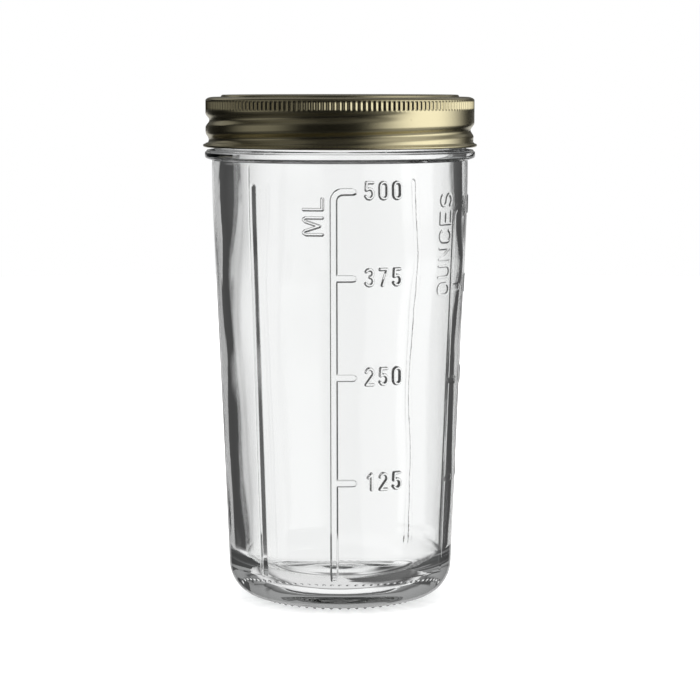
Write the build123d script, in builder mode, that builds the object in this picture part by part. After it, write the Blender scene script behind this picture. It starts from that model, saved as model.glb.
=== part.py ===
from build123d import *
from math import atan, cos, pi, radians, sin, tan
import os

# Tall tapered glass jar with a two-piece screw closure, in millimetres.
# The origin is the centre of the foot ring on the table, +Z is up and the measure scale faces -Y.

# Screw finish, which the closure's sizes follow
rim_height = 164.45             # sealing rim above the table
thread_radius = 43.0            # across the crest of the glass thread
thread_depth = 1.5
thread_width = 3.0
thread_crest_width = 1.0
thread_embed = 0.6              # how far the thread's root reaches into the wall
finish_wall = 3.5
rim_edge = 0.9                  # bevel of the rim
pitch = 6.35
thread_start_angle = -200.0
thread_turn_angle = 540.0
fade_angle = 36.0               # run-out at each end of a thread or groove
section_step_angle = 18.0
dip_share = 0.1                 # depth at which it ends under the surface, of its height

# Transfer bead under the closure
bead_drop = 17.05               # middle of the bead below the rim
bead_overhang = 3.0             # beyond the wall of the finish
bead_nose = 1.55                # half its thickness

# Glass body
base_radius = 36.53             # the tapered wall carried down to the table
shoulder_radius = 42.15
shoulder_drop = 30.45           # the taper ends this far below the rim, then the wall runs straight
wall = 4.2
heel_radius = 11.9              # rounding between wall and base
foot_ring_width = 2.2           # flat contact ring
push_up = 3.2                   # how far the middle of the base is raised
push_up_share = 0.6             # flat middle of the push-up, of the heel's foot
floor_thickness = 5.0           # glass over the push-up, at the middle
floor_height = 6.8              # inside floor above the table, beside the heel
inner_heel_radius = 8.0

# Raised marks on the body, angles from the front and positive to the right
mark_proud = 0.55
mark_embed = 1.2
rib_width = 2.0
rib_top_drop = 26.95            # below the rim
rib_bottom_height = 11.0
rib_angles = (-43.5, 136.5)
scale_rib_width = 2.1
scale_bottom_height = 11.6
scale_corner_radius = 3.0
tick_length = 7.1
tick_thickness = 2.1
fill_drop = 27.85               # highest mark below the rim
first_scale_angle = -3.3
first_level_shares = (0.318, 0.567, 0.799, 1.0)
second_scale_angle = 61.0
second_level_shares = (0.304, 0.542, 0.766, 0.957)

# Screw band
sheet = 0.35
thread_overlap = 0.45           # how far the band's inner ridge reaches inside the glass thread
groove_depth = 1.45
groove_width = 3.1
groove_floor_width = 0.9
groove_front_drop = 10.85       # middle of the lower groove at the front, below the rim
groove_overrun = 0.15           # how far the groove's cut reaches past the skirt
ridge_embed = 0.2               # how far the inner ridge reaches into the sheet
groove_start_angle = -108.0
groove_turn_angle = 504.0
band_flange = 4.65              # from the skirt in to the hole
band_shoulder = 1.2             # bevel between skirt and top
band_bottom_drop = 14.8         # below the rim
curl_height = 1.0
curl_bevel = 0.3
curl_overhang = 0.75            # how far the curled edge stands out from the skirt
knurl_count = 168
knurl_depth = 0.3
knurl_flute_width = 1.0
knurl_length = 2.2
knurl_land = 0.4                # plain strip between knurl and bevel

# Lid disc and seal
disc_sheet = 0.3
disc_play = 1.2                 # disc to skirt
panel_play = 0.7                # raised centre panel to the hole of the band
panel_rise = 1.15               # of the panel above the flange
panel_bend = 0.5                # bevel round the panel
seal_thickness = 0.75
seal_inset = 0.5                # from the edge of the disc
seal_lap = 0.6                  # over the inner edge of the rim

# Clearances
seal_gap = 0.05                 # rim to seal
disc_gap = 0.1                  # flange to band
thread_gap = 0.3                # thread to groove
overrun = 3.0                   # how far blocks reach past what trims them

# Derived sizes of the glass
finish_radius = thread_radius - thread_depth
mouth_radius = finish_radius - finish_wall
bead_radius = finish_radius + bead_overhang
bead_middle_radius = bead_radius - bead_nose
bead_height = rim_height - bead_drop
bead_bottom_height = bead_height - bead_nose
bead_top_height = bead_height + bead_nose
shoulder_height = rim_height - shoulder_drop
under_bead_height = bead_bottom_height - abs(bead_middle_radius - shoulder_radius)
taper = atan((shoulder_radius - base_radius) / shoulder_height)
heel_middle_radius = base_radius + heel_radius * tan(taper) - heel_radius / cos(taper)
heel_top_radius = heel_middle_radius + heel_radius * cos(taper)
heel_top_height = heel_radius * (1 - sin(taper))
foot_inner_radius = heel_middle_radius - foot_ring_width
push_up_radius = heel_middle_radius * push_up_share
floor_middle = push_up + floor_thickness
inner_heel_middle_height = floor_height + inner_heel_radius
inner_heel_middle_radius = (
    base_radius - wall + inner_heel_middle_height * tan(taper) - inner_heel_radius / cos(taper)
)
inner_heel_top_radius = inner_heel_middle_radius + inner_heel_radius * cos(taper)
inner_heel_top_height = inner_heel_middle_height - inner_heel_radius * sin(taper)
rib_top_height = rim_height - rib_top_drop
fill_height = rim_height - fill_drop
first_scale_levels = [fill_height * share for share in first_level_shares]
second_scale_levels = [fill_height * share for share in second_level_shares]

# Derived sizes of the closure, from the rim and the thread outwards
seal_bottom = rim_height + seal_gap
disc_bottom = seal_bottom + seal_thickness
disc_top = disc_bottom + disc_sheet
panel_top = disc_top + panel_rise
band_ceiling = disc_top + disc_gap
band_top = band_ceiling + sheet
band_bottom = rim_height - band_bottom_drop
ridge_radius = thread_radius - thread_overlap
groove_floor_radius = ridge_radius + sheet
band_radius = groove_floor_radius + groove_depth
skirt_inner_radius = band_radius - sheet
curl_outer_radius = band_radius + curl_overhang
band_hole_radius = band_radius - band_flange
knurl_top_height = band_top - band_shoulder - knurl_land
ridge_width = groove_width + sheet
ridge_crest_width = groove_floor_width + sheet
disc_radius = skirt_inner_radius - disc_play
panel_radius = band_hole_radius - panel_play
seal_outer_radius = disc_radius - seal_inset
seal_inner_radius = mouth_radius + seal_lap
groove_front_height = rim_height - groove_front_drop

# Half width of the band's inner ridge where it faces the crest of the glass thread
ridge_reach_share = (thread_radius - ridge_radius) / (skirt_inner_radius - ridge_radius)
ridge_half_width = (ridge_crest_width + (ridge_width - ridge_crest_width) * ridge_reach_share) / 2
thread_front_height = groove_front_height + thread_crest_width / 2 + ridge_half_width + thread_gap


def section_plane(angle):
    """Plane of a section through the axis: its X runs outwards and its Y runs up."""
    turn = radians(angle - 90)
    return Plane(origin=(0, 0, 0), x_dir=(cos(turn), sin(turn), 0), z_dir=(sin(turn), -cos(turn), 0))


def facing_plane(angle):
    """Upright plane through the axis that faces outwards at the given angle."""
    turn = radians(angle - 90)
    return Plane(origin=(0, 0, 0), x_dir=(-sin(turn), cos(turn), 0), z_dir=(cos(turn), sin(turn), 0))


def helical_form(root_radius, surface_radius, crest_radius, width, crest_width, height, start, turn):
    """Right-hand ridge or groove of one section that dips under its surface at both ends.

    It climbs one pitch a turn and is at the given height at the front. The root lies beyond the surface.
    """
    step_count = round(turn / section_step_angle)
    flank_slope = (width - crest_width) / 2 / abs(crest_radius - surface_radius)
    with BuildPart() as form:
        for step in range(step_count + 1):
            travelled = turn * step / step_count
            run_share = min(1, travelled / fade_angle, (turn - travelled) / fade_angle)
            height_share = run_share - dip_share * (1 - run_share)
            crest = surface_radius + (crest_radius - surface_radius) * height_share
            half_crest = crest_width / 2
            half_root = half_crest + flank_slope * abs(root_radius - crest)
            middle = height + pitch * (start + travelled) / 360
            with BuildSketch(section_plane(start + travelled)):
                with BuildLine():
                    Polyline(
                        (root_radius, middle - half_root),
                        (crest, middle - half_crest),
                        (crest, middle + half_crest),
                        (root_radius, middle + half_root),
                        close=True,
                    )
                make_face()
        loft()
    return form.part


# Thin layer that follows the outside of the body, in which the raised marks lie
with BuildPart() as mark_layer:
    with BuildSketch(Plane.XZ):
        with BuildLine():
            Polyline(
                (base_radius - mark_embed, 0),
                (base_radius + mark_proud, 0),
                (shoulder_radius + mark_proud, shoulder_height),
                (shoulder_radius + mark_proud, bead_bottom_height - mark_proud),
                (shoulder_radius - mark_embed, bead_bottom_height - mark_proud),
                (shoulder_radius - mark_embed, shoulder_height),
                close=True,
            )
        make_face()
    revolve(axis=Axis.Z)


def plain_rib(angle):
    """Raised vertical rib with round ends."""
    length = rib_top_height - rib_bottom_height
    with BuildPart() as rib:
        with BuildSketch(facing_plane(angle)):
            with Locations((0, rib_bottom_height + length / 2)):
                SlotOverall(length, rib_width, rotation=90)
        extrude(amount=shoulder_radius + overrun)
        add(mark_layer, mode=Mode.INTERSECT)
    return rib.part


def measure_scale(angle, levels):
    """Raised upright with a short tick to the right at each level, the top one round a corner."""
    top = levels[-1]
    tick_run = tick_length - tick_thickness / 2
    with BuildPart() as scale_marks:
        with BuildSketch(facing_plane(angle)):
            with BuildLine():
                FilletPolyline(
                    (0, scale_bottom_height + scale_rib_width / 2),
                    (0, top),
                    (tick_run, top),
                    radius=scale_corner_radius,
                )
            trace(line_width=scale_rib_width)
            with Locations((0, scale_bottom_height + scale_rib_width / 2)):
                Circle(scale_rib_width / 2)
            with Locations((tick_run, top)):
                Circle(tick_thickness / 2)
            with Locations(*[(tick_run / 2, level) for level in levels[:-1]]):
                SlotCenterToCenter(tick_run, tick_thickness)
        extrude(amount=shoulder_radius + overrun)
        add(mark_layer, mode=Mode.INTERSECT)
    return scale_marks.part


# Glass jar: body, bead, screw finish and raised marks are one moulding
glass_thread = helical_form(
    finish_radius - thread_embed,
    finish_radius,
    thread_radius,
    thread_width,
    thread_crest_width,
    thread_front_height,
    thread_start_angle,
    thread_turn_angle,
)
plain_ribs = [plain_rib(angle) for angle in rib_angles]
scales = [
    measure_scale(first_scale_angle, first_scale_levels),
    measure_scale(second_scale_angle, second_scale_levels),
]

with BuildPart() as glass_jar:
    with BuildSketch(Plane.XZ):
        with BuildLine():
            Polyline(
                (0, push_up),
                (push_up_radius, push_up),
                (foot_inner_radius, 0),
                (heel_middle_radius, 0),
            )
            TangentArc((heel_middle_radius, 0), (heel_top_radius, heel_top_height), tangent=(1, 0))
            Polyline(
                (heel_top_radius, heel_top_height),
                (shoulder_radius, shoulder_height),
                (shoulder_radius, under_bead_height),
                (bead_middle_radius, bead_bottom_height),
            )
            ThreePointArc(
                (bead_middle_radius, bead_bottom_height),
                (bead_radius, bead_height),
                (bead_middle_radius, bead_top_height),
            )
            Polyline(
                (bead_middle_radius, bead_top_height),
                (finish_radius, bead_top_height),
                (finish_radius, rim_height - rim_edge),
                (finish_radius - rim_edge, rim_height),
                (mouth_radius + rim_edge, rim_height),
                (mouth_radius, rim_height - rim_edge),
                (mouth_radius, bead_bottom_height),
                (shoulder_radius - wall, shoulder_height),
                (inner_heel_top_radius, inner_heel_top_height),
            )
            TangentArc(
                (inner_heel_top_radius, inner_heel_top_height),
                (inner_heel_middle_radius, floor_height),
                tangent=(-sin(taper), -cos(taper)),
            )
            Polyline(
                (inner_heel_middle_radius, floor_height),
                (push_up_radius, floor_middle),
                (0, floor_middle),
                (0, push_up),
            )
        make_face()
    revolve(axis=Axis.Z)
    add(glass_thread)
    add(plain_ribs)
    add(scales)

# Lid disc: stamped sheet with a raised centre panel
with BuildPart() as lid_disc:
    with BuildSketch(Plane.XZ):
        with BuildLine():
            bend_inside = panel_bend - disc_sheet / 2
            Polyline(
                (0, panel_top),
                (panel_radius - panel_bend, panel_top),
                (panel_radius, panel_top - panel_bend),
                (panel_radius, disc_top),
                (disc_radius, disc_top),
                (disc_radius, disc_bottom),
                (panel_radius - disc_sheet, disc_bottom),
                (panel_radius - disc_sheet, panel_top - disc_sheet - bend_inside),
                (panel_radius - disc_sheet - bend_inside, panel_top - disc_sheet),
                (0, panel_top - disc_sheet),
                close=True,
            )
        make_face()
    revolve(axis=Axis.Z)

# Sealing ring: soft compound under the flange
with BuildPart() as sealing_ring:
    with BuildSketch(Plane.XZ):
        with BuildLine():
            Polyline(
                (seal_inner_radius, seal_bottom),
                (seal_outer_radius, seal_bottom),
                (seal_outer_radius, disc_bottom),
                (seal_inner_radius, disc_bottom),
                close=True,
            )
        make_face()
    revolve(axis=Axis.Z)

# Screw band: rolled sheet with a thread groove, knurled shoulder and curled edge
groove_cut = helical_form(
    band_radius + groove_overrun,
    band_radius,
    groove_floor_radius,
    groove_width,
    groove_floor_width,
    groove_front_height,
    groove_start_angle,
    groove_turn_angle,
)
inner_ridge = helical_form(
    skirt_inner_radius + ridge_embed,
    skirt_inner_radius,
    ridge_radius,
    ridge_width,
    ridge_crest_width,
    groove_front_height,
    groove_start_angle,
    groove_turn_angle,
)

with BuildPart() as knurl_cut:
    with BuildSketch(Plane.XY.offset(knurl_top_height)):
        with PolarLocations(band_radius, knurl_count):
            with BuildLine(mode=Mode.PRIVATE) as flute:
                Polyline(
                    (-knurl_depth, 0),
                    (knurl_depth, knurl_flute_width),
                    (knurl_depth, -knurl_flute_width),
                    close=True,
                )
            add(make_face(flute.edges(), mode=Mode.PRIVATE))
    extrude(amount=-knurl_length)

with BuildPart() as screw_band:
    with BuildSketch(Plane.XZ):
        with BuildLine():
            inner_bevel = band_shoulder - sheet * tan(pi / 8)
            Polyline(
                (skirt_inner_radius, band_ceiling - inner_bevel),
                (skirt_inner_radius, band_bottom + curl_height / 2),
                (skirt_inner_radius + curl_bevel, band_bottom),
                (curl_outer_radius - curl_bevel, band_bottom),
                (curl_outer_radius, band_bottom + curl_bevel),
                (curl_outer_radius, band_bottom + curl_height - curl_bevel),
                (curl_outer_radius - curl_bevel, band_bottom + curl_height),
                (band_radius, band_bottom + curl_height),
                (band_radius, band_top - band_shoulder),
                (band_radius - band_shoulder, band_top),
                (band_hole_radius, band_top),
                (band_hole_radius, band_ceiling),
                (skirt_inner_radius - inner_bevel, band_ceiling),
                close=True,
            )
        make_face()
    revolve(axis=Axis.Z)
    add(inner_ridge)
    add(groove_cut, mode=Mode.SUBTRACT)
    add(knurl_cut, mode=Mode.SUBTRACT)

os.makedirs("parts", exist_ok=True)
glass_jar.part.label = "glass_jar"
lid_disc.part.label = "lid_disc"
sealing_ring.part.label = "sealing_ring"
screw_band.part.label = "screw_band"
export_step(glass_jar.part, "parts/glass_jar.step")
export_step(lid_disc.part, "parts/lid_disc.step")
export_step(sealing_ring.part, "parts/sealing_ring.step")
export_step(screw_band.part, "parts/screw_band.step")
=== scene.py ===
import math

import bpy
import numpy as np
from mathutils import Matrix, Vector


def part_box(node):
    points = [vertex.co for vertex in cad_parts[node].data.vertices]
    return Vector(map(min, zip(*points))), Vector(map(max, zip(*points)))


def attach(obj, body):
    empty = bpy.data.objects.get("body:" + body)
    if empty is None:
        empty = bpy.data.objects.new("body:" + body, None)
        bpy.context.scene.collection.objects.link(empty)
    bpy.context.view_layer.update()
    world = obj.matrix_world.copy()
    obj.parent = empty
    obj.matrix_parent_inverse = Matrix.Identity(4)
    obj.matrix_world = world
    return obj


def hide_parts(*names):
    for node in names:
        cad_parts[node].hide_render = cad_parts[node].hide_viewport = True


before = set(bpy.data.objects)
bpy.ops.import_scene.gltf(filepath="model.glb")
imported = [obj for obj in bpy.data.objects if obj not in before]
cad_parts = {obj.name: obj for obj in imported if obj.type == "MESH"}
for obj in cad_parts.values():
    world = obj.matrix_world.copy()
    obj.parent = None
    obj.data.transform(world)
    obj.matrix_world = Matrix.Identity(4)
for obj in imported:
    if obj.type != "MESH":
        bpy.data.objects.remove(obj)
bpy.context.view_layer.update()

# A tall tapered glass jar with embossed measure marks and a gold two-piece screw closure.
# Sizes here are in millimetres and degrees unless a name says otherwise. Angles run from the
# front, -Y, and are positive to the right. Meshes are made in metres.

METRES = 0.001
TURN = 360.0


def node_box(node):
    """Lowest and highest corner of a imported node, in millimetres."""
    low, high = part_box(node)
    return np.array(low) / METRES, np.array(high) / METRES


_, jar_high = node_box("glass_jar")
band_low, band_high = node_box("screw_band")
disc_low, disc_high = node_box("lid_disc")
seal_low, seal_high = node_box("sealing_ring")

# Glass body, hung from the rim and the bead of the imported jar
rim_height = jar_high[2]
bead_radius = jar_high[0]
finish_radius = bead_radius - 3.0
mouth_radius = finish_radius - 3.5
rim_rounding = 0.9
bead_low = rim_height - 19.1        # where the bead's underside leaves the wall
bead_nose_low = rim_height - 18.3
bead_nose_high = rim_height - 16.45
bead_upper_radius = bead_radius - 0.1
parting_depth = 0.6             # groove line where the moulds meet, round the bead
parting_half_height = 0.3
bead_roof = rim_height - 15.4
shoulder_radius = 42.15
shoulder_height = rim_height - 30.45
shoulder_blend = 9.0
base_radius = 36.53
wall = 4.2
wall_left, wall_right = 4.75, 3.2
thinner_left, thinner_right = 1.0, 1.0          # what each side loses at its thinnest
thinnest_left, thinnest_right = 97.0, 113.0     # heights where that is
thin_reach_left, thin_reach_right = 22.0, 17.0
thicker_right = 0.85                            # what the right side gains at its thickest
thickest_right = 68.0
thick_reach_right = 20.0
thicker_high = 1.6                              # what the wall gains under the bead
thicker_high_from, thicker_high_over = 107.0, 28.0
mouth_blend = 25.0                              # below the rim, where the even mouth ends
outer_unevenness, inner_unevenness = 0.03, 0.12
inner_waves_turn = 40.0
unevenness_at_floor = 0.4                       # share of the wall's unevenness that the floor's edge keeps
heel_radius = 11.9
heel_inset = 25.12              # centre of the heel's rounding, from the axis
foot_ring_width = 2.2
push_up = 3.2
push_up_flat_radius = 7.0
floor_middle_height = 8.2
floor_height = 6.8
inner_heel_radius = 11.5
floor_calm_radius = 12.0
taper = math.atan((shoulder_radius - base_radius) / shoulder_height)
heel_top = heel_radius * (1 - math.sin(taper))
rim_foot = rim_height - rim_rounding

# Glass thread
thread_crest = 1.5
thread_half_root = 1.55
thread_half_crest = 0.35
thread_front_height = rim_height - 9.08
thread_start = -200.0
thread_turn = 540.0
pitch = 6.35
fade_turn = 36.0

# Raised marks. Angles are those of their centre lines, and levels are shares of fill_height.
mark_height = 0.85
letter_height = 1.15
second_mark_height = 0.1
second_letter_height = 0.3
second_unit_height = 0.14
front_rib_height = 0.61
front_rib_half_width = 1.35
rib_crest = 0.22
back_rib_height = 0.3
back_rib_half_width = 1.1
back_rib_flank = 0.4
bar_flank = 0.55
stroke_flank = 0.36
unit_flank = 0.5
bar_half_width = 1.3
front_rib_angle = -41.0
back_rib_angle = 140.3
rib_top = rim_height - 27.0
rib_bottom = 11.6
first_scale_angle = -2.6
second_scale_angle = 62.0
scale_bottom = 12.6
scale_corner = 3.0
tick_run = 6.05
fill_height = rim_height - 27.85
first_levels = {"125": 0.318, "250": 0.567, "375": 0.799, "500": 1.0}
second_levels = {"4": 0.304, "8": 0.542, "12": 0.766, "16": 0.957}
stroke_half_width = 0.58
unit_half_width = 0.64
digit_width = 2.35
digit_height = 5.1
digit_step = 4.6
number_right = 21.8             # right end of a number's centre lines, from its scale
number_lift = 0.3
unit_letter_height = 6.0
first_unit_foot = -3.55         # foot of the letters of a unit, which reads upwards, from its scale
second_unit_foot = -2.4
patch_half_width = 28.0         # how far round the wall a scale's marks reach
seam_height = 0.07
seam_half_width = 0.6
seam_angles = (-43.4, 136.6)
ring_seam_height = rim_height - 22.5
stipple_count = 60
stipple_depth = 0.35
stipple_radius = 26.5
stipple_size = 0.75
stipple_softness = 0.7          # share of a dot's size that its flank takes
stipple_blend = 8.0

# Rows and columns of the jar's mesh. They lie closer where marks are: start, end and step of each
# such zone. A gap is what the rows leave free where two stretches of the outline meet.
column_step = 0.75
fine_angles = (
    (-44.5, -38.0, 0.2),
    (-17.0, -5.5, 0.17),
    (-5.5, 0.5, 0.25),
    (10.5, 29.5, 0.17),
    (47.0, 64.0, 0.3),
    (75.0, 95.5, 0.3),
    (136.0, 143.0, 0.25),
)
fine_heights = [(122.0, 135.5, 0.15), (101.0, 122.0, 0.3), (38.0, 48.0, 0.3), (71.0, 82.0, 0.3)]
number_reach = 3.4
number_step = 0.15
for level_share in first_levels.values():
    level_height = fill_height * level_share
    fine_heights.append((level_height - number_reach, level_height + number_reach, number_step))
pole_ring_radius = 1.0
foot_row_step = 0.28
foot_rows_past_ring = 5.0
heel_gap = 0.5
wall_row_step = 1.2
wall_gap_low, wall_gap_high = 0.6, 0.9
bead_gap_low, bead_gap_high = 0.7, 0.6
finish_row_step = 0.35
finish_gap_low, finish_gap_high = 0.8, 0.1
inner_row_step = 1.8
inner_gap_low, inner_gap_high = 0.7, 1.0

# Screw band
band_radius = band_high[0] - 0.85
band_bottom = band_low[2]
band_top = band_high[2]
sheet = 0.35
band_hole_radius = band_radius - 4.65
shoulder_across = 2.6
shoulder_down = 1.15
curl_height = 1.0
inner_curl_radius = 0.4
neck_rounding = 0.3
neck_rise = 0.25
groove_depth = 1.25
groove_half_width = 2.35
groove_front_height = rim_height - 10.85
groove_start = -108.0
groove_turn = 504.0
land_lean = 0.4
land_height = 4.0
knurl_count = 168
knurl_columns = 8               # columns of the mesh to each dent
knurl_depth = 0.36
knurl_low = rim_height - 2.75
knurl_high = band_top - 0.95
knurl_end = 0.6
skirt_row_step = 0.36
knurl_row_step = 0.2
inner_skirt_row_step = 0.55
skirt_gap_low, skirt_gap_high = 0.3, 0.1
inner_skirt_gap_low, inner_skirt_gap_high = 0.05, 0.4

# Lid disc and seal
lid_column_step = 2.0
disc_sheet = 0.3
disc_radius = disc_high[0]
disc_bottom = disc_low[2]
disc_panel_top = disc_high[2]
panel_radius = band_hole_radius - 0.7
panel_flat_radius = panel_radius - 1.5
panel_rounding = 0.55
panel_foot_rounding = 0.3
panel_slope = 0.6
panel_under_step = 0.1
seal_inner_radius = mouth_radius + 0.6
seal_outer_radius = seal_high[0]
seal_rounding = 0.35 * (seal_high[2] - seal_low[2])


def smooth(value):
    """0 below 0, 1 above 1 and a smooth step between."""
    share = np.clip(value, 0.0, 1.0)
    return share * share * (3 - 2 * share)


def arc(centre, radius, start, end, count, height_radius=None):
    """Points of an arc in a section, as radius and height, with its ends; height_radius flattens it."""
    turns = np.radians(np.linspace(start, end, count))
    tall = radius if height_radius is None else height_radius
    return np.column_stack((centre[0] + radius * np.cos(turns), centre[1] + tall * np.sin(turns)))


def rounded(corners, count=7):
    """Section through corners given as radius, height and rounding; its two ends stay sharp."""
    points = [corners[0][:2]]
    for before, here, after in zip(corners, corners[1:], corners[2:]):
        corner, rounding = np.array(here[:2]), here[2]
        back, on = np.array(before[:2]) - corner, np.array(after[:2]) - corner
        back, on = back / np.hypot(*back), on / np.hypot(*on)
        half = 0.5 * math.acos(np.dot(back, on))
        middle = corner + (back + on) / np.hypot(*(back + on)) * rounding / math.sin(half)
        first, last = (corner + way * rounding / math.tan(half) - middle for way in (back, on))
        begin = math.atan2(first[1], first[0])
        swing = (math.atan2(last[1], last[0]) - begin + math.pi) % (2 * math.pi) - math.pi
        turns = begin + swing * np.linspace(0, 1, count)
        points += (middle + rounding * np.column_stack((np.cos(turns), np.sin(turns)))).tolist()
    points.append(corners[-1][:2])
    return np.array(points)


def run(start, end, count):
    """Evenly spaced points of a straight run, without its ends."""
    shares = np.linspace(0, 1, count + 2)[1:-1, None]
    return np.array(start) * (1 - shares) + np.array(end) * shares


def graded(low, high, step, fine_zones):
    """Places from low to high, closer together in the fine zones, each given as its ends and its step."""
    places = [low]
    while places[-1] < high:
        here = places[-1]
        fine = [fine_step for start, end, fine_step in fine_zones if start - step <= here <= end]
        places.append(here + min(fine, default=step))
    return np.array(places[:-1])


def placed(radius, angles, height):
    """Points on rings. Radius and height have a value for each ring, or for each angle on each ring."""
    turn = np.radians(angles)[None, :]
    radius, height = (values[:, None] if values.ndim == 1 else values for values in (radius, height))
    radius = np.broadcast_to(radius, (len(radius), len(angles)))
    height = np.broadcast_to(height, radius.shape)
    return np.stack((radius * np.sin(turn), -radius * np.cos(turn), height), axis=-1)


def swept(section, angles):
    """Points on rings, of a section that is the same all round."""
    return placed(section[:, 0], angles, section[:, 1])


def from_angle(angles, middle):
    """Angles counted from a middle one, the short way round."""
    return (angles - middle + TURN / 2) % TURN - TURN / 2


def ringed_mesh(name, rings, poles=None):
    """A closed surface through rings of points. Without poles the last ring joins the first one."""
    row_count, column_count = rings.shape[:2]
    index = np.arange(row_count * column_count).reshape(row_count, column_count)
    lower, upper = (index[:-1], index[1:]) if poles else (index, np.roll(index, -1, axis=0))
    quads = np.stack((lower, np.roll(lower, -1, 1), np.roll(upper, -1, 1), upper), axis=-1)
    faces = quads.reshape(-1, 4).tolist()
    points = rings.reshape(-1, 3)
    if poles:
        first = len(points)
        points = np.vstack((points, [(0, 0, poles[0]), (0, 0, poles[1])]))
        bottom, top = index[0], index[-1]
        for here in range(column_count):
            after = (here + 1) % column_count
            faces.append((first, bottom[after], bottom[here]))
            faces.append((first + 1, top[here], top[after]))
    mesh = bpy.data.meshes.new(name)
    mesh.from_pydata((points * METRES).tolist(), [], faces)
    mesh.polygons.foreach_set("use_smooth", np.ones(len(mesh.polygons), dtype=bool))
    mesh.update()
    piece = bpy.data.objects.new(name, mesh)
    bpy.context.scene.collection.objects.link(piece)
    return piece


def helix_share(angles, heights, front_height, start, turn, profile):
    """How far a helical ridge or groove of that profile stands out at each place, from 0 to 1."""
    share = np.zeros(np.broadcast(angles, heights).shape)
    for lap in (-1, 0, 1, 2):
        travelled = angles + TURN * lap - start
        middle = front_height + pitch * (angles + TURN * lap) / TURN
        ends = smooth(travelled / fade_turn) * smooth((turn - travelled) / fade_turn)
        share = np.maximum(share, ends * profile(np.abs(heights - middle)))
    return share


# Lettering, as centre lines in a cell of unit width and height
def bow(centre, across, up, start, end, count=9):
    """Points along part of an ellipse."""
    turns = np.radians(np.linspace(start, end, count))
    return [(centre[0] + across * math.cos(t), centre[1] + up * math.sin(t)) for t in turns]


GLYPHS = {
    "0": [bow((0.5, 0.76), 0.5, 0.24, 180, 0) + bow((0.5, 0.24), 0.5, 0.24, 0, -180) + [(0, 0.76)]],
    "1": [[(0.3, 0.78), (0.75, 1), (0.75, 0)]],
    "2": [bow((0.5, 0.72), 0.5, 0.28, 165, -25) + [(0, 0), (1, 0)]],
    "3": [bow((0.45, 0.76), 0.5, 0.24, 150, -80), bow((0.45, 0.27), 0.55, 0.27, 80, -150)],
    "4": [[(0.75, 0), (0.75, 1), (0, 0.3), (1, 0.3)]],
    "5": [[(0.95, 1), (0.1, 1), (0.05, 0.55)] + bow((0.45, 0.31), 0.55, 0.31, 130, -150)],
    "6": [bow((0.5, 0.3), 0.5, 0.3, 0, 360, 17), bow((0.8, 0.35), 0.8, 0.65, 180, 90)],
    "7": [[(0, 1), (1, 1), (0.3, 0)]],
    "8": [bow((0.5, 0.77), 0.45, 0.23, 0, 360, 17), bow((0.5, 0.27), 0.5, 0.27, 0, 360, 17)],
    "M": [[(0, 0), (0, 0.85), (0.1, 1), (0.22, 0.9), (0.5, 0.15), (0.78, 0.9), (0.9, 1), (1, 0.85), (1, 0)]],
    "L": [[(0, 1), (0, 0), (1, 0)]],
    "O": [bow((0.5, 0.7), 0.5, 0.3, 180, 0) + bow((0.5, 0.3), 0.5, 0.3, 0, -180) + [(0, 0.7)]],
    "U": [[(0, 1)] + bow((0.5, 0.28), 0.5, 0.28, 180, 360) + [(1, 1)]],
    "N": [[(0, 0), (0, 1), (1, 0), (1, 1)]],
    "C": [bow((0.5, 0.72), 0.5, 0.28, 20, 180) + bow((0.5, 0.28), 0.5, 0.28, 180, 340)],
    "E": [[(1, 1), (0, 1), (0, 0), (1, 0)], [(0, 0.5), (0.85, 0.5)]],
    "S": [bow((0.5, 0.75), 0.5, 0.25, 30, 270) + bow((0.5, 0.25), 0.5, 0.25, 90, -150)],
}


def number_strokes(text, level):
    """Centre lines of an upright number beside its tick, in millimetres across and up."""
    strokes = []
    for place, digit in enumerate(reversed(text)):
        left = number_right - digit_width - digit_step * place
        foot = level + number_lift - digit_height / 2
        for line in GLYPHS[digit]:
            strokes.append([(left + digit_width * x, foot + digit_height * y) for x, y in line])
    return strokes


def unit_strokes(letters, foot):
    """Centre lines of a unit that reads upwards: each letter has its low end and its width."""
    strokes = []
    for letter, low, width in letters:
        for line in GLYPHS[letter]:
            strokes.append([(foot - unit_letter_height * y, low + width * x) for x, y in line])
    return strokes


def scale_strokes(levels):
    """Centre lines of an upright with a tick at each level, the top one round a corner."""
    heights = [fill_height * share for share in levels.values()]
    top = heights[-1]
    corner = bow((scale_corner, top - scale_corner), scale_corner, scale_corner, 180, 90)
    strokes = [[(0, scale_bottom)] + corner + [(tick_run, top)]]
    strokes += [[(0, level), (tick_run, level)] for level in heights[:-1]]
    return strokes


first_unit = unit_strokes((("M", 123.1, 5.3), ("L", 131.0, 3.3)), first_unit_foot)
ounce_low, ounce_step, ounce_width = 102.6, 5.75, 3.6
second_unit = unit_strokes(
    [(letter, ounce_low + ounce_step * place, ounce_width) for place, letter in enumerate("OUNCES")],
    second_unit_foot,
)


def plateau(half_width, flank):
    """Section of a stroke with a flat top, as its share of height by distance from the centre line."""
    return lambda gap: smooth((half_width - gap) / flank)


def tent(half_width, crest):
    """Section of a rib with straight flanks and a rounded crest."""
    return lambda gap: np.clip(1 - (np.hypot(gap, crest) - crest) / (half_width - crest), 0, 1)


def relief(across, up, strokes, section):
    """Height share of rounded strokes over a patch of the wall, from 0 to 1."""
    nearest = np.full(np.broadcast(across, up).shape, math.inf)
    for line in strokes:
        for (x0, y0), (x1, y1) in zip(line[:-1], line[1:]):
            along_x, along_y = x1 - x0, y1 - y0
            length = max(along_x**2 + along_y**2, 1e-9)
            share = np.clip(((across - x0) * along_x + (up - y0) * along_y) / length, 0, 1)
            gap = np.hypot(across - x0 - share * along_x, up - y0 - share * along_y)
            nearest = np.minimum(nearest, gap)
    return section(nearest)


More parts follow.
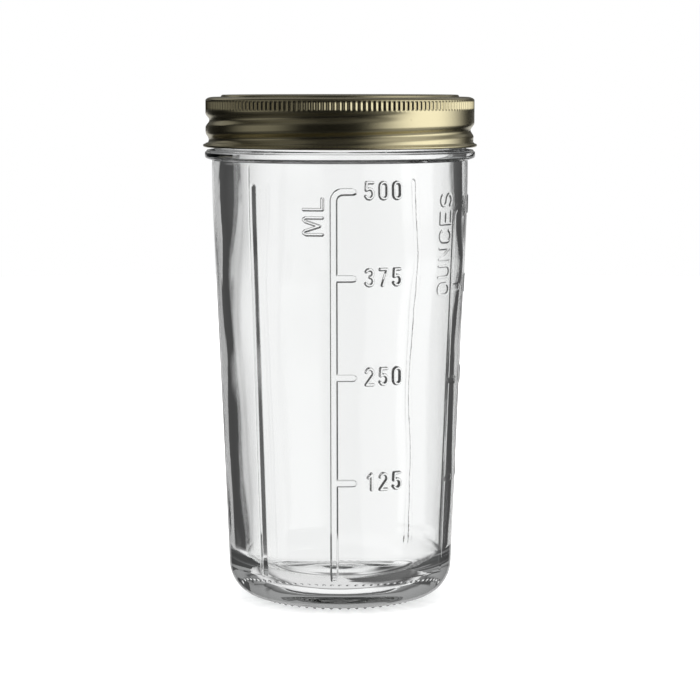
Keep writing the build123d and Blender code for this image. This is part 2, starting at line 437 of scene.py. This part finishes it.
def marks(angles, heights):
    """Height of every raised mark over the wall, in millimetres."""
    raised = np.zeros((len(heights), len(angles)))
    up = heights[:, None]

    def add(angle, strokes, section, height):
        across = np.radians(from_angle(angles, angle))[None, :] * (base_radius + up * math.tan(taper))
        near = np.abs(across[0]) < patch_half_width
        share = relief(across[:, near], up, strokes, section)
        raised[:, near] = np.maximum(raised[:, near], height * share)

    rib_line = [[(0, rib_bottom), (0, rib_top)]]
    add(front_rib_angle, rib_line, tent(front_rib_half_width, rib_crest), front_rib_height)
    add(back_rib_angle, rib_line, plateau(back_rib_half_width, back_rib_flank), back_rib_height)
    first_heights = (mark_height, letter_height, letter_height)
    second_heights = (second_mark_height, second_letter_height, second_unit_height)
    for angle, levels, unit, (bar_height, digit_relief, unit_relief) in (
        (first_scale_angle, first_levels, first_unit, first_heights),
        (second_scale_angle, second_levels, second_unit, second_heights),
    ):
        add(angle, scale_strokes(levels), plateau(bar_half_width, bar_flank), bar_height)
        numbers = [s for text, share in levels.items() for s in number_strokes(text, fill_height * share)]
        add(angle, numbers, plateau(stroke_half_width, stroke_flank), digit_relief)
        add(angle, unit, plateau(unit_half_width, unit_flank), unit_relief)
    for angle in seam_angles:
        away = np.abs(from_angle(angles, angle))[None, :]
        raised = np.maximum(raised, seam_height * smooth(1 - away / seam_half_width))
    away = np.abs(up - ring_seam_height)
    return np.maximum(raised, seam_height * smooth(1 - away / seam_half_width))


def uneven(angles, heights, size):
    """Gentle unevenness of pressed glass, as waves round the jar and up it."""
    turn = np.radians(angles)[None, :]
    up = np.asarray(heights)[:, None]
    return size * (
        0.45 * np.sin(2 * turn + up / 31 + 0.6)
        + 0.30 * np.sin(5 * turn - up / 17 + 2.1)
        + 0.22 * np.sin(9 * turn + up / 12.5 + 4.0)
        + 0.16 * np.sin(14 * turn - up / 8.5 + 1.2) * np.sin(up / 21 + 0.4)
        + 0.20 * np.sin(up / 9.5 + 2.0 * np.sin(turn))
    )


def floor_waves(angles, radii):
    """Low uneven rings of the inner floor, which calm down towards its middle."""
    turn = np.radians(angles)[None, :]
    out = np.asarray(radii)[:, None]
    rings = (
        0.050 * np.sin(out / 1.6 + 1.4 * np.sin(turn + 0.5))
        + 0.120 * np.sin(out / 3.6 + 1.8 * np.sin(turn) + 1.0)
        + 0.090 * np.sin(2 * turn + out / 9 + 0.7)
        + 0.035 * np.sin(5 * turn - out / 5 + 2.0)
    )
    return rings * smooth(out / floor_calm_radius)


def wall_thickness(angles, heights):
    """Thickness of the wall: thinner to the right and above its middle, thicker near the bead."""
    to_right = 0.5 + 0.5 * np.sin(np.radians(angles))[None, :]
    up = np.asarray(heights)[:, None]
    left = wall_left - thinner_left * np.exp(-(((up - thinnest_left) / thin_reach_left) ** 2))
    right = wall_right - thinner_right * np.exp(-(((up - thinnest_right) / thin_reach_right) ** 2))
    right += thicker_right * np.exp(-(((up - thickest_right) / thick_reach_right) ** 2))
    high = thicker_high * smooth((up - thicker_high_from) / thicker_high_over)
    return left * (1 - to_right) + right * to_right + high


def jar_underside(angles):
    """Underside from its middle, foot ring and heel, with a ring of dots that the jar stands on."""
    foot_inner = heel_inset - foot_ring_width
    push_up_radius = np.linspace(pole_ring_radius, foot_inner, 16)[:-1]
    foot_radius = np.arange(foot_inner, heel_inset + foot_rows_past_ring, foot_row_step)
    under_radius = np.concatenate((push_up_radius, foot_radius))
    under_share = (under_radius - push_up_flat_radius) / (foot_inner - push_up_flat_radius)
    under_height = (push_up - stipple_depth) * (1 - smooth(under_share)) + stipple_depth
    past_ring = np.maximum(under_radius - heel_inset, 0)
    under_height += heel_radius - np.sqrt(heel_radius**2 - past_ring**2)
    around = stipple_radius * math.pi / stipple_count
    along = around * np.abs((angles * stipple_count / TURN + 0.5) % 1 - 0.5) * 2
    away = np.hypot(along[None, :], (under_radius - stipple_radius)[:, None])
    dot_share = smooth((stipple_size - away) / (stipple_size * stipple_softness))
    dotted = under_height[:, None] * (1 - dot_share)
    heel_in = under_radius[-1] + heel_gap
    heel_start = -90 + math.degrees(math.asin((heel_in - heel_inset) / heel_radius))
    heel = arc((heel_inset, heel_radius), heel_radius, heel_start, -math.degrees(taper), 22)
    heel[:, 1] += stipple_depth * (1 - smooth((heel[:, 0] - stipple_radius) / stipple_blend))
    return np.concatenate((placed(under_radius, angles, dotted), swept(heel, angles)))


def jar_wall(angles):
    """Tapered wall with its marks, up to the bead."""
    up = graded(heel_top + wall_gap_low, bead_low - wall_gap_high, wall_row_step, fine_heights)
    over = up - shoulder_height
    straight = shoulder_radius + np.minimum(over, 0) * math.tan(taper)
    blend = math.tan(taper) * shoulder_blend * np.clip(1 - np.abs(over) / shoulder_blend, 0, 1) ** 2 / 4
    relief_height = marks(angles, up) + uneven(angles, up, outer_unevenness)
    return placed((straight - blend)[:, None] + relief_height, angles, up)


def jar_bead(angles):
    """Bead with its groove line, from its underside to the screw finish."""
    section = rounded(
        (
            (shoulder_radius, bead_low - bead_gap_low, 0),
            (shoulder_radius, bead_low, 0.2),
            (bead_radius, bead_nose_low, 0.75),
            (bead_radius, bead_nose_high, 0.3),
            (bead_radius - parting_depth, bead_nose_high + parting_half_height, 0.1),
            (bead_upper_radius, bead_nose_high + 2 * parting_half_height, 0.25),
            (finish_radius, bead_roof, 0.4),
            (finish_radius, bead_roof + bead_gap_high, 0),
        ),
        9,
    )
    return swept(section, angles)


def jar_finish(angles):
    """Screw finish with its thread."""
    up = np.arange(bead_roof + finish_gap_low, rim_foot - finish_gap_high, finish_row_step)
    thread = helix_share(
        angles[None, :],
        up[:, None],
        thread_front_height,
        thread_start,
        thread_turn,
        lambda gap: smooth((thread_half_root - gap) / (thread_half_root - thread_half_crest)),
    )
    return placed(finish_radius + thread_crest * thread, angles, up)


def jar_rim(angles):
    """Flat rim with its two rounded edges."""
    outer, inner = finish_radius - rim_rounding, mouth_radius + rim_rounding
    section = np.vstack(
        (
            arc((outer, rim_foot), rim_rounding, 0, 90, 8),
            run((outer, rim_height), (inner, rim_height), 2),
            arc((inner, rim_foot), rim_rounding, 90, 180, 8),
        )
    )
    return swept(section, angles)


def jar_inner_side(angles):
    """Inner wall from the mouth down, inner heel and floor."""
    heel_up = floor_height + inner_heel_radius
    heel_in = base_radius - wall + heel_up * math.tan(taper) - inner_heel_radius / math.cos(taper)
    wall_low = heel_up - inner_heel_radius * math.sin(taper)
    wall_up = np.arange(rim_foot - inner_gap_high, wall_low + inner_gap_low, -inner_row_step)
    tapered = shoulder_radius - np.maximum(shoulder_height - wall_up, 0) * math.tan(taper)
    below_mouth = smooth((rim_height - wall_up) / mouth_blend)[:, None]
    wall_radius = tapered[:, None] - wall_thickness(angles, wall_up)
    wall_radius += uneven(angles + inner_waves_turn, wall_up, inner_unevenness)
    wall_radius = mouth_radius * (1 - below_mouth) + wall_radius * below_mouth

    heel = arc((heel_in, heel_up), inner_heel_radius, -math.degrees(taper), -90, 26)
    outwards = wall - wall_thickness(angles, heel[:, 1])
    outwards += uneven(angles + inner_waves_turn, heel[:, 1], inner_unevenness)
    calm = np.linspace(1, unevenness_at_floor, len(heel))[:, None]
    heel_radii = heel[:, :1] + outwards * calm

    floor_radius = np.linspace(heel_in, pole_ring_radius, 24)[1:]
    floor_share = smooth(1 - floor_radius / heel_in)
    floor_rise = floor_height + (floor_middle_height - floor_height) * floor_share
    floor_up = floor_rise[:, None] + floor_waves(angles, floor_radius)
    return np.concatenate(
        (
            placed(wall_radius, angles, wall_up),
            placed(heel_radii, angles, heel[:, 1]),
            placed(floor_radius, angles, floor_up),
        )
    )


def glass_jar():
    """The whole jar as one closed surface, from the middle of the base round the rim to the inner floor."""
    angles = graded(-TURN / 2, TURN / 2, column_step, fine_angles)
    stretches = (jar_underside, jar_wall, jar_bead, jar_finish, jar_rim, jar_inner_side)
    rings = np.concatenate([stretch(angles) for stretch in stretches])
    return ringed_mesh("jar_glass", rings, poles=(push_up, floor_middle_height))


def screw_band():
    """Rolled band with its thread groove, dents for the fingers and curled edge."""
    column_count = knurl_count * knurl_columns
    angles = np.arange(column_count) * TURN / column_count - TURN / 2

    def groove(heights):
        return groove_depth * helix_share(
            angles[None, :],
            np.asarray(heights)[:, None],
            groove_front_height,
            groove_start,
            groove_turn,
            lambda gap: 0.5 + 0.5 * np.cos(math.pi * np.clip(gap / groove_half_width, 0, 1)),
        )

    def dents(heights):
        phase = (np.arange(len(angles)) % knurl_columns) / knurl_columns
        across = (0.5 - 0.5 * np.cos(2 * math.pi * phase))[None, :]
        up = np.asarray(heights)[:, None]
        ends = smooth((up - knurl_low) / knurl_end) * smooth((knurl_high - up) / knurl_end)
        return knurl_depth * across * ends

    # Outside, from the curled edge up to the hole
    curl_radius = curl_height / 2
    curl_out = band_high[0] - curl_radius
    curl = arc((curl_out, band_bottom + curl_radius), curl_radius, -100, 75, 12)
    neck_middle = (band_radius + neck_rounding, band_bottom + curl_height + neck_rise)
    neck = arc(neck_middle, neck_rounding, -100, -180, 4)
    skirt_low = neck[-1, 1] + skirt_gap_low
    skirt_top = band_top - shoulder_down
    below_knurl = np.arange(skirt_low, knurl_low - skirt_gap_high, skirt_row_step)
    at_knurl = np.arange(knurl_low, skirt_top - skirt_gap_high, knurl_row_step)
    skirt_up = np.concatenate((below_knurl, at_knurl))
    lean = land_lean * smooth(1 - (skirt_up - skirt_low) / land_height)[:, None]
    skirt_radius = band_radius - groove(skirt_up) - dents(skirt_up) - lean
    shoulder_in = band_radius - shoulder_across
    shoulder = arc((shoulder_in, skirt_top), shoulder_across, 0, 90, 12, shoulder_down)
    dented_radius = shoulder[:, :1] - dents(shoulder[:, 1])
    flange = run(shoulder[-1], (band_hole_radius + sheet / 2, band_top), 3)
    hole = arc((band_hole_radius + sheet / 2, band_top - sheet / 2), sheet / 2, 90, 270, 6)

    # Inside, from the hole down to the curled edge
    inner_side = band_radius - sheet
    curl_top = band_bottom + inner_curl_radius
    inner_flange = run(hole[-1], (shoulder_in, band_top - sheet), 3)
    turn_in = arc((shoulder_in, skirt_top), shoulder_across - sheet, 90, 0, 8, shoulder_down - sheet)
    inner_up = np.arange(skirt_top - inner_skirt_gap_high, skirt_low, -inner_skirt_row_step)
    inner_radius = inner_side - groove(inner_up)
    inner_foot = run((inner_side, skirt_low), (inner_side, curl_top + inner_skirt_gap_low), 2)
    inner_curl = arc((inner_side + inner_curl_radius, curl_top), inner_curl_radius, 180, 250, 4)

    rings = np.concatenate(
        (
            swept(curl, angles),
            swept(neck, angles),
            placed(skirt_radius, angles, skirt_up),
            placed(dented_radius, angles, shoulder[:, 1]),
            swept(flange, angles),
            swept(hole, angles),
            swept(inner_flange, angles),
            swept(turn_in, angles),
            placed(inner_radius, angles, inner_up),
            swept(inner_foot, angles),
            swept(inner_curl, angles),
        )
    )
    return ringed_mesh("band_shell", rings)


def lid_disc():
    """Stamped disc: flange under the band and a raised centre panel with a rounded edge."""
    angles = np.arange(-TURN / 2, TURN / 2, lid_column_step)
    flange_top = disc_bottom + disc_sheet
    under_panel = disc_panel_top - disc_sheet
    top = np.vstack(
        (
            [(disc_radius, disc_bottom)],
            rounded(
                (
                    (disc_radius, flange_top, 0),
                    (panel_radius + panel_slope, flange_top, panel_foot_rounding),
                    (panel_radius, disc_panel_top, panel_rounding),
                    (panel_flat_radius, disc_panel_top, 0),
                ),
                9,
            ),
            run((panel_flat_radius, disc_panel_top), (0, disc_panel_top), 22),
        )
    )
    edge_middle = (panel_radius - panel_rounding, disc_panel_top - panel_rounding)
    bottom = np.vstack(
        (
            run((0, under_panel), (panel_radius - panel_rounding, under_panel), 12),
            arc(edge_middle, panel_rounding - disc_sheet, 90, 0, 5),
            [(panel_radius - disc_sheet, disc_bottom + panel_under_step)],
            run((panel_radius - disc_sheet, disc_bottom), (disc_radius, disc_bottom), 3),
        )
    )
    rings = np.concatenate((swept(bottom, angles), swept(top, angles)))
    return ringed_mesh("lid_panel", rings, poles=(under_panel, disc_panel_top))


def sealing_ring():
    """Flat ring of compound with rounded edges, under the flange."""
    angles = np.arange(-TURN / 2, TURN / 2, lid_column_step)
    outer, inner = seal_outer_radius - seal_rounding, seal_inner_radius + seal_rounding
    low, high = seal_low[2] + seal_rounding, seal_high[2] - seal_rounding
    corners = (((outer, low), -90), ((outer, high), 0), ((inner, high), 90), ((inner, low), 180))
    section = np.vstack([arc(middle, seal_rounding, start, start + 90, 5) for middle, start in corners])
    return ringed_mesh("seal_compound", swept(section, angles))


reflection_limit = 2.5
glass_tint = (0.985, 0.99, 0.988, 1)
through_tint = (0.93, 0.94, 0.94, 1)
gold_deep, gold_pale = (0.69, 0.62, 0.385, 1), (0.78, 0.70, 0.45, 1)
gold_worn = (0.33, 0.28, 0.17, 1)
dull_tin = (0.2, 0.2, 0.195, 1)
compound_deep, compound_pale = (0.72, 0.70, 0.64, 1), (0.83, 0.81, 0.75, 1)
floor_deep, floor_pale = (0.79, 0.79, 0.79, 1), (0.81, 0.81, 0.81, 1)


class Nodes:
    """Short names for making a node tree."""

    def __init__(self, tree):
        self.tree = tree
        tree.nodes.clear()

    def new(self, kind, inputs=(), **settings):
        """A node of that kind with its inputs, as values or links, and its settings."""
        node = self.tree.nodes.new(kind)
        for name, value in settings.items():
            setattr(node, name, value)
        for name, value in dict(inputs).items():
            self.put(node.inputs[name], value)
        return node

    def put(self, socket, value):
        """Link a socket to another one, or set its value."""
        if isinstance(value, bpy.types.NodeSocket):
            self.tree.links.new(value, socket)
        else:
            socket.default_value = value

    def math(self, operation, *values):
        """Result of one operation on one, two or three values."""
        node = self.new("ShaderNodeMath", operation=operation)
        for socket, value in zip(node.inputs, values):
            self.put(socket, value)
        return node.outputs[0]

    def fold(self, operation, first, *others):
        """One operation over any number of values."""
        for value in others:
            first = self.math(operation, first, value)
        return first

    def step(self, value, low, high, start=0.0, end=1.0):
        """Smooth step of a value from start at low to end at high."""
        inputs = {"Value": value, "From Min": low, "From Max": high, "To Min": start, "To Max": end}
        node = self.new("ShaderNodeMapRange", inputs, interpolation_type="SMOOTHSTEP")
        return node.outputs["Result"]

    def mix(self, share, first, second):
        """Value between two, by share."""
        node = self.new("ShaderNodeMix", data_type="FLOAT")
        self.put(node.inputs[0], share)
        self.put(node.inputs[2], first)
        self.put(node.inputs[3], second)
        return node.outputs[0]

    def colour_mix(self, share, first, second):
        """Colour between two, by share."""
        node = self.new("ShaderNodeMix", data_type="RGBA")
        self.put(node.inputs[0], share)
        self.put(node.inputs[6], first)
        self.put(node.inputs[7], second)
        return node.outputs[2]

    def noise(self, vector, scale, detail=2.0, roughness=0.5):
        """Soft random value from 0 to 1 at each place."""
        inputs = {"Vector": vector, "Scale": scale, "Detail": detail, "Roughness": roughness}
        return self.new("ShaderNodeTexNoise", inputs).outputs["Fac"]

    def many_reflections(self, light_path):
        """1 for light that has been reflected more often than the limit, else 0."""
        return self.math("GREATER_THAN", light_path["Glossy Depth"], reflection_limit)

    def place(self, stretch=(1, 1, 1)):
        """Place on the object, stretched along its axes."""
        where = self.new("ShaderNodeTexCoord").outputs["Object"]
        return self.new("ShaderNodeMapping", {"Vector": where, "Scale": stretch}).outputs[0]


def new_material(name):
    material = bpy.data.materials.new(name)
    material.use_nodes = True
    return material, Nodes(material.node_tree)


def clear_glass():
    """Clear pressed glass, slightly uneven; lamps and light caught in it by many reflections go through."""
    material, nodes = new_material("clear_glass")
    waves = nodes.noise(nodes.place((1, 1, 0.35)), 160.0, 2.0)
    grain = nodes.noise(nodes.place(), 1400.0, 3.0)
    height = nodes.math("ADD", waves, nodes.math("MULTIPLY", grain, 0.06))
    bump = nodes.new("ShaderNodeBump", {"Height": height, "Strength": 0.12, "Distance": 0.0002})
    roughness = nodes.step(nodes.noise(nodes.place(), 90.0, 3.0), 0.45, 0.75, 0.0, 0.02)
    glass = nodes.new(
        "ShaderNodeBsdfPrincipled",
        {
            "Base Color": glass_tint,
            "Roughness": roughness,
            "IOR": 1.5,
            "Transmission Weight": 1.0,
            "Normal": bump.outputs[0],
        },
    )
    through = nodes.new("ShaderNodeBsdfTransparent", {"Color": through_tint})
    light = nodes.new("ShaderNodeLightPath").outputs
    let_out = nodes.math("MAXIMUM", light["Is Shadow Ray"], nodes.many_reflections(light))
    shader = nodes.new("ShaderNodeMixShader", {0: let_out})
    nodes.put(shader.inputs[1], glass.outputs[0])
    nodes.put(shader.inputs[2], through.outputs[0])
    nodes.new("ShaderNodeOutputMaterial", {"Surface": shader.outputs[0]})
    return material


def gold_lacquer(name, stretch, inner_side):
    """Satin gold lacquer on tinplate, with fine rolling lines and faint handling wear; dull tin inside."""
    material, nodes = new_material(name)
    lines = nodes.noise(nodes.place(stretch), 260.0, 3.0, 0.6)
    grain = nodes.noise(nodes.place(), 2600.0, 2.0)
    clouds = nodes.noise(nodes.place(), 45.0, 4.0, 0.6)
    specks = nodes.step(nodes.noise(nodes.place(), 900.0, 1.0), 0.74, 0.80)
    colour = nodes.colour_mix(clouds, gold_deep, gold_pale)
    colour = nodes.colour_mix(nodes.math("MULTIPLY", specks, 0.5), colour, gold_worn)
    facing = nodes.new("ShaderNodeTexCoord").outputs["Normal"]
    inwards = nodes.new("ShaderNodeVectorMath", {0: facing, 1: inner_side(nodes)}, operation="DOT_PRODUCT")
    inside = nodes.step(inwards.outputs["Value"], 0.05, 0.3)
    colour = nodes.colour_mix(inside, colour, dull_tin)
    roughness = nodes.math("ADD", nodes.math("MULTIPLY", clouds, 0.08), 0.17)
    roughness = nodes.math("ADD", roughness, nodes.math("MULTIPLY", lines, 0.05))
    height = nodes.math("ADD", nodes.math("MULTIPLY", lines, 0.5), nodes.math("MULTIPLY", grain, 0.5))
    bump = nodes.new("ShaderNodeBump", {"Height": height, "Strength": 0.10, "Distance": 0.0001})
    metal = nodes.new(
        "ShaderNodeBsdfPrincipled",
        {
            "Base Color": colour,
            "Metallic": 1.0,
            "Roughness": roughness,
            "Coat Weight": 0.25,
            "Coat Roughness": 0.18,
            "Normal": bump.outputs[0],
        },
    )
    nodes.new("ShaderNodeOutputMaterial", {"Surface": metal.outputs[0]})
    return material


def towards_axis(nodes):
    """Direction from a point of the band to its axis."""
    flat = nodes.new("ShaderNodeMapping", {"Vector": nodes.place(), "Scale": (-1, -1, 0)}).outputs[0]
    return nodes.new("ShaderNodeVectorMath", {0: flat}, operation="NORMALIZE").outputs[0]


def downwards(nodes):
    """Straight down, the side of the disc that lies on the seal."""
    return (0, 0, -1)


def seal_compound():
    """Matt pale sealing compound."""
    material, nodes = new_material("seal_compound")
    cloud = nodes.noise(nodes.place(), 120.0, 3.0)
    colour = nodes.colour_mix(cloud, compound_deep, compound_pale)
    grain = nodes.noise(nodes.place(), 1500.0, 2.0)
    bump = nodes.new("ShaderNodeBump", {"Height": grain, "Strength": 0.3, "Distance": 0.0001})
    soft = nodes.new(
        "ShaderNodeBsdfPrincipled",
        {
            "Base Color": colour,
            "Roughness": nodes.math("ADD", nodes.math("MULTIPLY", cloud, 0.2), 0.5),
            "Normal": bump.outputs[0],
        },
    )
    nodes.new("ShaderNodeOutputMaterial", {"Surface": soft.outputs[0]})
    return material


# Studio. Glass sees white screens round the object with dark flags between them. Each screen has the
# direction of its middle, from +Y and positive towards -X, its half width, its lowest and highest
# elevation and the width of its soft sides, in degrees.
screens = (
    (0.0, 24.0, -17.0, 9.0, 6.0),
    (24.0, 4.0, 0.5, 14.0, 3.0),
    (4.0, 14.0, -38.0, -14.0, 10.0),
    (90.0, 24.0, -17.0, 9.0, 6.0),
    (45.0, 24.0, -38.0, -17.0, 6.0),
    (-135.0, 24.0, -26.0, -3.0, 6.0),
)
screen_level = 1.04
screen_fade_low, screen_fade_high = 4.0, 6.0
flag_level = 0.045
flag_cloud = 0.07

# Metal sees softboxes. Each has the direction of its middle, from the camera's side and positive to
# the right, its half width and the width of its soft sides, in degrees, and its brightness.
softboxes = ((79.0, 36.0, 54.0, 1.33), (-72.0, 26.0, 36.0, 0.19), (180.0, 25.0, 50.0, 0.1))
dark_level = 0.005

# How light changes with direction: each step has the two angles that it lies between, in degrees,
# and the levels before and after it. Side steps go by azimuth, all others by elevation.
screens_side_dimmer = (6.0, 22.0, 1.0, 0.7)
screens_side_full = (27.0, 33.0, 0.0, 1.0)
table = (-50.0, -36.0, 0.8, 0.0)
table_side = (-24.0, -10.0, 0.15, 1.0)
ceiling_rises = ((20.0, 30.0, 0.0, 0.15), (35.0, 60.0, 0.0, 0.4))
boxes_fades = (
    (8.0, 35.0, 1.0, 0.4),
    (60.0, 85.0, 1.0, 0.2),
    (-17.0, -3.0, 0.3, 1.0),
    (-70.0, -30.0, 0.4, 1.0),
)
glow_above = (10.0, 40.0, 0.0, 0.025)
glow_below = (-40.0, -8.0, 0.015, 0.0)
behind_side = (18.0, 26.0, 0.6, 0.0)
behind_up = (-2.0, -1.2, 1.0, 0.0)
high_side = (48.0, 62.0, 0.25, 0.0)
high_from = (14.0, 20.0, 0.0, 1.0)
high_to = (34.0, 46.0, 1.0, 0.1)

matt_level = 0.6
trapped_level, trapped_share = 0.05, 0.3    # for light caught in the glass by many reflections

# Floor, in millimetres; its glow grows from near to far, in metres from the axis
floor_top, floor_bottom = -0.05, -8.0
floor_rings = (20.0, 60.0, 120.0, 300.0, 700.0, 1400.0)
floor_near, floor_far = 0.12, 0.40
floor_glow_near, floor_glow_far = 0.30, 1.0

# Lamps: name, place and width in metres, and watts; all aim at a point on the axis
lamps = (
    ("key", (0.9, -0.9, 0.9), 0.9, 13.0),
    ("fill", (-1.1, -0.7, 0.8), 1.0, 8.0),
    ("top", (0.0, 0.2, 1.5), 1.2, 14.0),
)
lamp_aim_height = 0.08

# Camera fitted to the photograph's outline: place in metres, tilt in degrees, lens in millimetres
camera_place = (0.0033, -0.8323, 0.17115)
camera_tilt = 83.899
camera_lens = 129.4
camera_sensor = 36.0


def away_from(nodes, angle, middle):
    """How far a direction is from another one, the short way round, in degrees."""
    apart = nodes.math("WRAP", nodes.math("SUBTRACT", angle, middle), 180.0, -180.0)
    return nodes.math("ABSOLUTE", apart)


def light_for_glass(nodes, towards, azimuth, elevation):
    """White screens with dark flags between them, a table below and a dim ceiling."""
    field = 0.0
    for middle, half_width, low, high, soft in screens:
        beside = away_from(nodes, azimuth, middle)
        across = nodes.step(beside, half_width - soft / 2, half_width + soft / 2, screen_level, 0.0)
        above = nodes.step(elevation, low - screen_fade_low, low)
        below = nodes.step(elevation, high, high + screen_fade_high, 1.0, 0.0)
        field = nodes.math("MAXIMUM", field, nodes.fold("MULTIPLY", across, above, below))
    dimmer, full = nodes.step(azimuth, *screens_side_dimmer), nodes.step(azimuth, *screens_side_full)
    field = nodes.math("MULTIPLY", field, nodes.math("MAXIMUM", dimmer, full))
    table_light = nodes.math("MULTIPLY", nodes.step(elevation, *table), nodes.step(azimuth, *table_side))
    ceiling = nodes.fold("ADD", *[nodes.step(elevation, *rise) for rise in ceiling_rises])
    clouds = nodes.math("MULTIPLY", nodes.noise(towards, 3.0, 1.0), flag_cloud)
    flags = nodes.math("ADD", flag_level, clouds)
    return nodes.fold("MAXIMUM", field, flags, table_light, ceiling)


def light_for_metal(nodes, x, y, azimuth, elevation):
    """Softboxes beside the object, a glow above and below, and two dim lights behind it."""
    front = nodes.math("DEGREES", nodes.math("ARCTAN2", x, nodes.math("MULTIPLY", y, -1.0)))
    light = dark_level
    for middle, half_width, soft, level in softboxes:
        beside = away_from(nodes, front, middle)
        box = nodes.step(beside, half_width - soft / 2, half_width + soft / 2, level, 0.0)
        light = nodes.math("ADD", light, box)
    light = nodes.fold("MULTIPLY", light, *[nodes.step(elevation, *fade) for fade in boxes_fades])
    light = nodes.fold("ADD", light, nodes.step(elevation, *glow_above), nodes.step(elevation, *glow_below))
    beside = nodes.math("ABSOLUTE", azimuth)
    behind = nodes.math("MULTIPLY", nodes.step(beside, *behind_side), nodes.step(elevation, *behind_up))
    between = nodes.math("MULTIPLY", nodes.step(elevation, *high_from), nodes.step(elevation, *high_to))
    high = nodes.math("MULTIPLY", nodes.step(beside, *high_side), between)
    return nodes.fold("MAXIMUM", light, behind, high)


def studio_world():
    """White for the camera, screens and flags for glass, and softboxes for metal."""
    world = bpy.data.worlds.new("studio")
    bpy.context.scene.world = world
    world.use_nodes = True
    nodes = Nodes(world.node_tree)
    towards = nodes.new("ShaderNodeTexCoord").outputs["Generated"]
    x, y, z = nodes.new("ShaderNodeSeparateXYZ", {"Vector": towards}).outputs
    azimuth = nodes.math("DEGREES", nodes.math("ARCTAN2", nodes.math("MULTIPLY", x, -1.0), y))
    elevation = nodes.math("DEGREES", nodes.math("ARCSINE", z))
    for_glass = light_for_glass(nodes, towards, azimuth, elevation)
    for_metal = light_for_metal(nodes, x, y, azimuth, elevation)

    path = nodes.new("ShaderNodeLightPath").outputs
    level = nodes.mix(path["Is Glossy Ray"], matt_level, for_metal)
    level = nodes.mix(path["Is Transmission Ray"], level, for_glass)
    trapped = nodes.math("ADD", nodes.math("MULTIPLY", for_glass, trapped_share), trapped_level)
    level = nodes.mix(nodes.many_reflections(path), level, trapped)
    level = nodes.mix(path["Is Camera Ray"], level, 1.0)
    background = nodes.new("ShaderNodeBackground", {"Color": (1, 1, 1, 1), "Strength": level})
    nodes.new("ShaderNodeOutputWorld", {"Surface": background.outputs[0]})


def studio_floor():
    """Pale floor that keeps the object's shadow and runs out into the white background."""
    angles = np.arange(-TURN / 2, TURN / 2, 5.0)
    radii = np.array(floor_rings)
    above = placed(radii, angles, np.full_like(radii, floor_top))
    below = placed(radii, angles, np.full_like(radii, floor_bottom))
    rings = np.concatenate((below, above[::-1]))
    floor = ringed_mesh("studio_floor", rings, poles=(floor_bottom, floor_top))
    material, nodes = new_material("studio_floor")
    cloud = nodes.noise(nodes.place(), 2.0, 2.0)
    away = nodes.new("ShaderNodeVectorMath", {0: nodes.place()}, operation="LENGTH").outputs["Value"]
    glow = nodes.step(away, floor_near, floor_far, floor_glow_near, floor_glow_far)
    pale = nodes.colour_mix(cloud, floor_deep, floor_pale)
    diffuse = nodes.new("ShaderNodeBsdfDiffuse", {"Color": pale})
    path = nodes.new("ShaderNodeLightPath").outputs
    glow = nodes.math("MULTIPLY", path["Is Camera Ray"], glow)
    glow = nodes.new("ShaderNodeEmission", {"Strength": glow})
    lit = nodes.new("ShaderNodeAddShader")
    nodes.put(lit.inputs[0], diffuse.outputs[0])
    nodes.put(lit.inputs[1], glow.outputs[0])
    clear = nodes.new("ShaderNodeBsdfTransparent")
    unseen = nodes.math("MAXIMUM", path["Is Transmission Ray"], path["Is Glossy Ray"])
    shader = nodes.new("ShaderNodeMixShader", {0: unseen})
    nodes.put(shader.inputs[1], lit.outputs[0])
    nodes.put(shader.inputs[2], clear.outputs[0])
    nodes.new("ShaderNodeOutputMaterial", {"Surface": shader.outputs[0]})
    floor.data.materials.append(material)


def studio_lamps():
    """Large soft lamps: key from the right, fill from the left, and one overhead."""
    for name, place, size, watts in lamps:
        light = bpy.data.lights.new(name, "AREA")
        light.shape = "DISK"
        light.size = size
        light.energy = watts
        lamp = bpy.data.objects.new(name, light)
        lamp.location = place
        aim = -lamp.location
        aim.z += lamp_aim_height
        lamp.rotation_euler = aim.to_track_quat("-Z", "Y").to_euler()
        lamp.visible_glossy = False
        lamp.visible_transmission = False
        bpy.context.scene.collection.objects.link(lamp)


def studio_camera():
    """Camera at the photograph's place and angle."""
    camera = bpy.data.cameras.new("camera")
    camera.sensor_width = camera_sensor
    camera.lens = camera_lens
    holder = bpy.data.objects.new("camera", camera)
    holder.location = camera_place
    holder.rotation_euler = (math.radians(camera_tilt), 0, 0)
    bpy.context.scene.collection.objects.link(holder)
    bpy.context.scene.camera = holder


def dress(piece, material, body, node):
    """Give a piece its material, and let it stand for a node and ride on that node's body."""
    piece.data.materials.append(material)
    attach(piece, body)
    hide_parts(node)


band_lacquer = gold_lacquer("band_lacquer", (1, 1, 12), towards_axis)
disc_lacquer = gold_lacquer("disc_lacquer", (9, 1, 1), downwards)
dress(glass_jar(), clear_glass(), "jar", "glass_jar")
dress(screw_band(), band_lacquer, "band", "screw_band")
dress(lid_disc(), disc_lacquer, "lid", "lid_disc")
dress(sealing_ring(), seal_compound(), "lid", "sealing_ring")

studio_world()
studio_floor()
studio_lamps()
studio_camera()
bpy.context.scene.view_settings.view_transform = "Standard"
